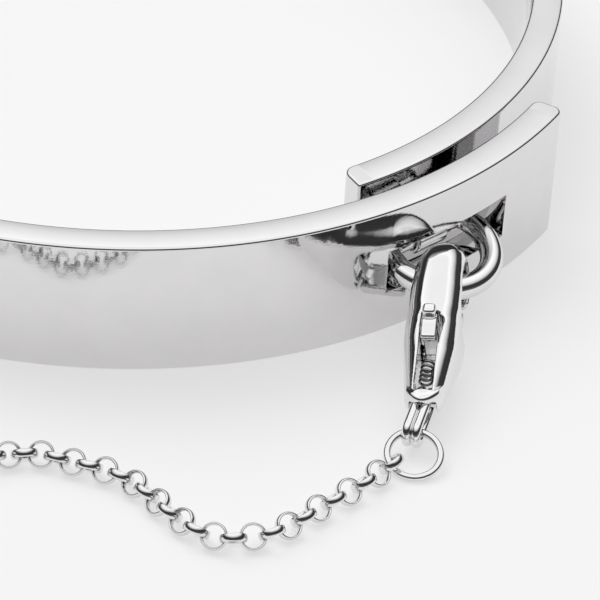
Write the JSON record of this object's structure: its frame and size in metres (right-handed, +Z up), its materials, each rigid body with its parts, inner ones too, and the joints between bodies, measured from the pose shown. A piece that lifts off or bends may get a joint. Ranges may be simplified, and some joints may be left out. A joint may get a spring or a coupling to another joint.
{
  "type": "bangle bracelet",
  "caption": "Stiff round strip bangle with overlapping ends; a hinged ring stands through a slot, a lobster clasp hooks it, and a fine rolo chain runs from the clasp back to the band.",
  "frame": {"origin": "centre of the outer end's bend, on the plane the bangle lies on", "axes": "+Z up through the wrist opening, across the strip's width; -Y towards the overlap's front, +X to the right of it"},
  "size_m": [0.0608, 0.0791, 0.009],
  "materials": {
    "band": "mirror polish with very faint lengthwise brushing",
    "fittings": "polished",
    "closure_ring": "mirror polish",
    "clasp": "polished casting, softly rounded",
    "clasp_lever": "polished, thumb knob worn bright",
    "rivets": "peened flush",
    "spring": "bright drawn wire",
    "bail": "polished wire",
    "jump_rings": "polished wire",
    "chain": "polished drawn wire"
  },
  "bodies": {
    "band": {"band": "band", "ring_lug": "fittings", "anchor_lug": "fittings"},
    "closure_ring": {"closure_ring": "closure_ring"},
    "clasp": {"clasp_body": "clasp", "lever_pin": "rivets", "tail_pin": "rivets", "lever_spring": "spring"},
    "clasp_lever": {"clasp_lever": "clasp_lever"},
    "bail": {"bail": "bail"},
    "jump_ring": {"jump_ring": "jump_rings"},
    "anchor_ring": {"anchor_ring": "jump_rings"},
    "chain_link_01": {"chain_link_01": "chain"},
    "chain_link_02": {"chain_link_02": "chain"},
    "chain_link_03": {"chain_link_03": "chain"},
    "chain_link_04": {"chain_link_04": "chain"},
    "chain_link_05": {"chain_link_05": "chain"},
    "chain_link_06": {"chain_link_06": "chain"},
    "chain_link_07": {"chain_link_07": "chain"},
    "chain_link_08": {"chain_link_08": "chain"},
    "chain_link_09": {"chain_link_09": "chain"},
    "chain_link_10": {"chain_link_10": "chain"},
    "chain_link_11": {"chain_link_11": "chain"},
    "chain_link_12": {"chain_link_12": "chain"},
    "chain_link_13": {"chain_link_13": "chain"},
    "chain_link_14": {"chain_link_14": "chain"},
    "chain_link_15": {"chain_link_15": "chain"},
    "chain_link_16": {"chain_link_16": "chain"},
    "chain_link_17": {"chain_link_17": "chain"},
    "chain_link_18": {"chain_link_18": "chain"},
    "chain_link_19": {"chain_link_19": "chain"},
    "chain_link_20": {"chain_link_20": "chain"},
    "chain_link_21": {"chain_link_21": "chain"},
    "chain_link_22": {"chain_link_22": "chain"},
    "chain_link_23": {"chain_link_23": "chain"},
    "chain_link_24": {"chain_link_24": "chain"},
    "chain_link_25": {"chain_link_25": "chain"},
    "chain_link_26": {"chain_link_26": "chain"},
    "chain_link_27": {"chain_link_27": "chain"},
    "chain_link_28": {"chain_link_28": "chain"},
    "chain_link_29": {"chain_link_29": "chain"},
    "chain_link_30": {"chain_link_30": "chain"},
    "chain_link_45": {"chain_link_45": "chain"},
    "chain_link_44": {"chain_link_44": "chain"},
    "chain_link_43": {"chain_link_43": "chain"},
    "chain_link_42": {"chain_link_42": "chain"},
    "chain_link_41": {"chain_link_41": "chain"},
    "chain_link_40": {"chain_link_40": "chain"},
    "chain_link_39": {"chain_link_39": "chain"},
    "chain_link_38": {"chain_link_38": "chain"},
    "chain_link_37": {"chain_link_37": "chain"},
    "chain_link_36": {"chain_link_36": "chain"},
    "chain_link_35": {"chain_link_35": "chain"},
    "chain_link_34": {"chain_link_34": "chain"},
    "chain_link_33": {"chain_link_33": "chain"},
    "chain_link_32": {"chain_link_32": "chain"},
    "chain_link_31": {"chain_link_31": "chain"}
  },
  "joints": [
    {"name": "ring_hinge", "type": "hinge", "parent": "band", "child": "closure_ring", "pos_m": [0.01906, -0.02297, 0.00447], "axis": [-0.7695, -0.6386, 0], "range_deg": [0, 19]},
    {"name": "clasp_swing", "type": "hinge", "parent": "closure_ring", "child": "clasp", "pos_m": [0.02016, -0.02742, 0.00347], "axis": [0.9881, 0.0599, -0.1415], "range_deg": [-34, 4]},
    {"name": "lever_pivot", "type": "hinge", "parent": "clasp", "child": "clasp_lever", "pos_m": [0.01965, -0.03192, 0.00178], "axis": [0.9733, -0.1703, 0.1539], "range_deg": [0, 12], "stiffness_Nm_per_rad": 0.0004, "springref_deg": -5.73},
    {"name": "bail_hinge", "type": "hinge", "parent": "clasp", "child": "bail", "pos_m": [0.01883, -0.03658, 0.00182], "axis": [-0.9733, 0.1703, -0.1539], "range_deg": [-8, 5]},
    {"name": "jump_ring_hinge", "type": "hinge", "parent": "bail", "child": "jump_ring", "pos_m": [0.01813, -0.03872, 0.00134], "axis": [-0.9512, 0.3085, 0], "range_deg": [-15, 15]},
    {"name": "anchor_ring_hinge", "type": "hinge", "parent": "band", "child": "anchor_ring", "pos_m": [-0.01437, -0.02947, 0.0045], "axis": [0.8988, -0.4384, 0], "range_deg": [-40, 20]},
    {"name": "link_01_hinge", "type": "hinge", "parent": "jump_ring", "child": "chain_link_01", "pos_m": [0.01681, -0.04106, 0.00078], "axis": [-0.5533, 0.833, 0], "range_deg": [-25, 25]},
    {"name": "link_02_hinge", "type": "hinge", "parent": "chain_link_01", "child": "chain_link_02", "pos_m": [0.01635, -0.04158, 0.00078], "axis": [0.7686, -0.6397, 0], "range_deg": [-25, 25]},
    {"name": "link_03_hinge", "type": "hinge", "parent": "chain_link_02", "child": "chain_link_03", "pos_m": [0.01553, -0.04251, 0.00078], "axis": [-0.7258, 0.6879, 0], "range_deg": [-25, 25]},
    {"name": "link_04_hinge", "type": "hinge", "parent": "chain_link_03", "child": "chain_link_04", "pos_m": [0.01465, -0.04338, 0.00078], "axis": [0.6877, -0.726, 0], "range_deg": [-25, 25]},
    {"name": "link_05_hinge", "type": "hinge", "parent": "chain_link_04", "child": "chain_link_05", "pos_m": [0.01375, -0.0442, 0.00078], "axis": [-0.66, 0.7513, 0], "range_deg": [-25, 25]},
    {"name": "link_06_hinge", "type": "hinge", "parent": "chain_link_05", "child": "chain_link_06", "pos_m": [0.01285, -0.045, 0.00078], "axis": [0.6666, -0.7454, 0], "range_deg": [-25, 25]},
    {"name": "link_07_hinge", "type": "hinge", "parent": "chain_link_06", "child": "chain_link_07", "pos_m": [0.01198, -0.04582, 0.00078], "axis": [-0.6989, 0.7152, 0], "range_deg": [-25, 25]},
    {"name": "link_08_hinge", "type": "hinge", "parent": "chain_link_07", "child": "chain_link_08", "pos_m": [0.01112, -0.04662, 0.00078], "axis": [0.6715, -0.741, 0], "range_deg": [-25, 25]},
    {"name": "link_09_hinge", "type": "hinge", "parent": "chain_link_08", "child": "chain_link_09", "pos_m": [0.0102, -0.04734, 0.00078], "axis": [-0.5508, 0.8346, 0], "range_deg": [-25, 25]},
    {"name": "link_10_hinge", "type": "hinge", "parent": "chain_link_09", "child": "chain_link_10", "pos_m": [0.00918, -0.04787, 0.00078], "axis": [0.3721, -0.9282, 0], "range_deg": [-25, 25]},
    {"name": "link_11_hinge", "type": "hinge", "parent": "chain_link_10", "child": "chain_link_11", "pos_m": [0.00809, -0.04818, 0.00078], "axis": [-0.1598, 0.9872, 0], "range_deg": [-25, 25]},
    {"name": "link_12_hinge", "type": "hinge", "parent": "chain_link_11", "child": "chain_link_12", "pos_m": [0.00697, -0.0482, 0.00078], "axis": [-0.1155, -0.9933, 0], "range_deg": [-25, 25]},
    {"name": "link_13_hinge", "type": "hinge", "parent": "chain_link_12", "child": "chain_link_13", "pos_m": [0.00592, -0.04789, 0.00078], "axis": [0.4537, 0.8911, 0], "range_deg": [-25, 25]},
    {"name": "link_14_hinge", "type": "hinge", "parent": "chain_link_13", "child": "chain_link_14", "pos_m": [0.00502, -0.04727, 0.00078], "axis": [-0.6603, -0.751, 0], "range_deg": [-25, 25]},
    {"name": "link_15_hinge", "type": "hinge", "parent": "chain_link_14", "child": "chain_link_15", "pos_m": [0.00424, -0.04651, 0.00078], "axis": [0.7443, 0.6678, 0], "range_deg": [-25, 25]},
    {"name": "link_16_hinge", "type": "hinge", "parent": "chain_link_15", "child": "chain_link_16", "pos_m": [0.00355, -0.04568, 0.00078], "axis": [-0.7826, -0.6225, 0], "range_deg": [-25, 25]},
    {"name": "link_17_hinge", "type": "hinge", "parent": "chain_link_16", "child": "chain_link_17", "pos_m": [0.00288, -0.04484, 0.00078], "axis": [0.7899, 0.6132, 0], "range_deg": [-25, 25]},
    {"name": "link_18_hinge", "type": "hinge", "parent": "chain_link_17", "child": "chain_link_18", "pos_m": [0.00221, -0.04403, 0.00078], "axis": [-0.7434, -0.6689, 0], "range_deg": [-25, 25]},
    {"name": "link_19_hinge", "type": "hinge", "parent": "chain_link_18", "child": "chain_link_19", "pos_m": [0.00145, -0.04332, 0.00078], "axis": [0.6224, 0.7827, 0], "range_deg": [-25, 25]},
    {"name": "link_20_hinge", "type": "hinge", "parent": "chain_link_19", "child": "chain_link_20", "pos_m": [0.0006, -0.04275, 0.00078], "axis": [-0.4782, -0.8782, 0], "range_deg": [-25, 25]},
    {"name": "link_21_hinge", "type": "hinge", "parent": "chain_link_20", "child": "chain_link_21", "pos_m": [-0.00033, -0.04233, 0.00078], "axis": [0.3544, 0.9351, 0], "range_deg": [-25, 25]},
    {"name": "link_22_hinge", "type": "hinge", "parent": "chain_link_21", "child": "chain_link_22", "pos_m": [-0.00127, -0.04199, 0.00078], "axis": [-0.3089, -0.9511, 0], "range_deg": [-25, 25]},
    {"name": "link_23_hinge", "type": "hinge", "parent": "chain_link_22", "child": "chain_link_23", "pos_m": [-0.00221, -0.04167, 0.00078], "axis": [0.352, 0.936, 0], "range_deg": [-25, 25]},
    {"name": "link_24_hinge", "type": "hinge", "parent": "chain_link_23", "child": "chain_link_24", "pos_m": [-0.00314, -0.04135, 0.00078], "axis": [-0.2838, -0.9589, 0], "range_deg": [-25, 25]},
    {"name": "link_25_hinge", "type": "hinge", "parent": "chain_link_24", "child": "chain_link_25", "pos_m": [-0.00409, -0.0412, 0.00078], "axis": [0.0252, 0.9997, 0], "range_deg": [-25, 25]},
    {"name": "link_26_hinge", "type": "hinge", "parent": "chain_link_25", "child": "chain_link_26", "pos_m": [-0.00504, -0.04127, 0.00078], "axis": [0.1687, -0.9857, 0], "range_deg": [-25, 25]},
    {"name": "link_27_hinge", "type": "hinge", "parent": "chain_link_26", "child": "chain_link_27", "pos_m": [-0.00596, -0.04146, 0.00078], "axis": [-0.2406, 0.9706, 0], "range_deg": [-25, 25]},
    {"name": "link_28_hinge", "type": "hinge", "parent": "chain_link_27", "child": "chain_link_28", "pos_m": [-0.00687, -0.04169, 0.00078], "axis": [0.2423, -0.9702, 0], "range_deg": [-25, 25]},
    {"name": "link_29_hinge", "type": "hinge", "parent": "chain_link_28", "child": "chain_link_29", "pos_m": [-0.00778, -0.04189, 0.00078], "axis": [-0.1801, 0.9836, 0], "range_deg": [-25, 25]},
    {"name": "link_30_hinge", "type": "hinge", "parent": "chain_link_29", "child": "chain_link_30", "pos_m": [-0.00871, -0.042, 0.00078], "axis": [0.057, -0.9984, 0], "range_deg": [-25, 25]},
    {"name": "link_45_hinge", "type": "hinge", "parent": "anchor_ring", "child": "chain_link_45", "pos_m": [-0.01497, -0.0307, 0.00194], "axis": [-0.8988, 0.4384, 0], "range_deg": [-25, 25]},
    {"name": "link_44_hinge", "type": "hinge", "parent": "chain_link_45", "child": "chain_link_44", "pos_m": [-0.01535, -0.03118, 0.00176], "axis": [0.7419, -0.6705, 0], "range_deg": [-25, 25]},
    {"name": "link_43_hinge", "type": "hinge", "parent": "chain_link_44", "child": "chain_link_43", "pos_m": [-0.01591, -0.03192, 0.00143], "axis": [-0.8497, 0.5272, 0], "range_deg": [-25, 25]},
    {"name": "link_42_hinge", "type": "hinge", "parent": "chain_link_43", "child": "chain_link_42", "pos_m": [-0.01633, -0.03278, 0.00116], "axis": [0.9375, -0.3481, 0], "range_deg": [-25, 25]},
    {"name": "link_41_hinge", "type": "hinge", "parent": "chain_link_42", "child": "chain_link_41", "pos_m": [-0.01657, -0.03371, 0.00096], "axis": [-0.9886, 0.1504, 0], "range_deg": [-25, 25]},
    {"name": "link_40_hinge", "type": "hinge", "parent": "chain_link_41", "child": "chain_link_40", "pos_m": [-0.01662, -0.03469, 0.00083], "axis": [0.9991, 0.0414, 0], "range_deg": [-25, 25]},
    {"name": "link_39_hinge", "type": "hinge", "parent": "chain_link_40", "child": "chain_link_39", "pos_m": [-0.0165, -0.03567, 0.00076], "axis": [-0.9778, -0.2095, 0], "range_deg": [-25, 25]},
    {"name": "link_38_hinge", "type": "hinge", "parent": "chain_link_39", "child": "chain_link_38", "pos_m": [-0.01622, -0.03663, 0.00075], "axis": [0.9381, 0.3463, 0], "range_deg": [-25, 25]},
    {"name": "link_37_hinge", "type": "hinge", "parent": "chain_link_38", "child": "chain_link_37", "pos_m": [-0.01582, -0.03754, 0.00076], "axis": [-0.8898, -0.4564, 0], "range_deg": [-25, 25]},
    {"name": "link_36_hinge", "type": "hinge", "parent": "chain_link_37", "child": "chain_link_36", "pos_m": [-0.01532, -0.0384, 0.00077], "axis": [0.8369, 0.5474, 0], "range_deg": [-25, 25]},
    {"name": "link_35_hinge", "type": "hinge", "parent": "chain_link_36", "child": "chain_link_35", "pos_m": [-0.01474, -0.0392, 0.00079], "axis": [-0.7768, -0.6298, 0], "range_deg": [-25, 25]},
    {"name": "link_34_hinge", "type": "hinge", "parent": "chain_link_35", "child": "chain_link_34", "pos_m": [-0.01407, -0.03993, 0.00079], "axis": [0.7008, 0.7133, 0], "range_deg": [-25, 25]},
    {"name": "link_33_hinge", "type": "hinge", "parent": "chain_link_34", "child": "chain_link_33", "pos_m": [-0.01332, -0.04059, 0.00079], "axis": [-0.605, -0.7962, 0], "range_deg": [-25, 25]},
    {"name": "link_32_hinge", "type": "hinge", "parent": "chain_link_33", "child": "chain_link_32", "pos_m": [-0.01248, -0.04113, 0.00078], "axis": [0.4876, 0.8731, 0], "range_deg": [-25, 25]},
    {"name": "link_31_hinge", "type": "hinge", "parent": "chain_link_32", "child": "chain_link_31", "pos_m": [-0.01158, -0.04155, 0.00078], "axis": [-0.3549, -0.9349, 0], "range_deg": [-25, 25]}
  ]
}
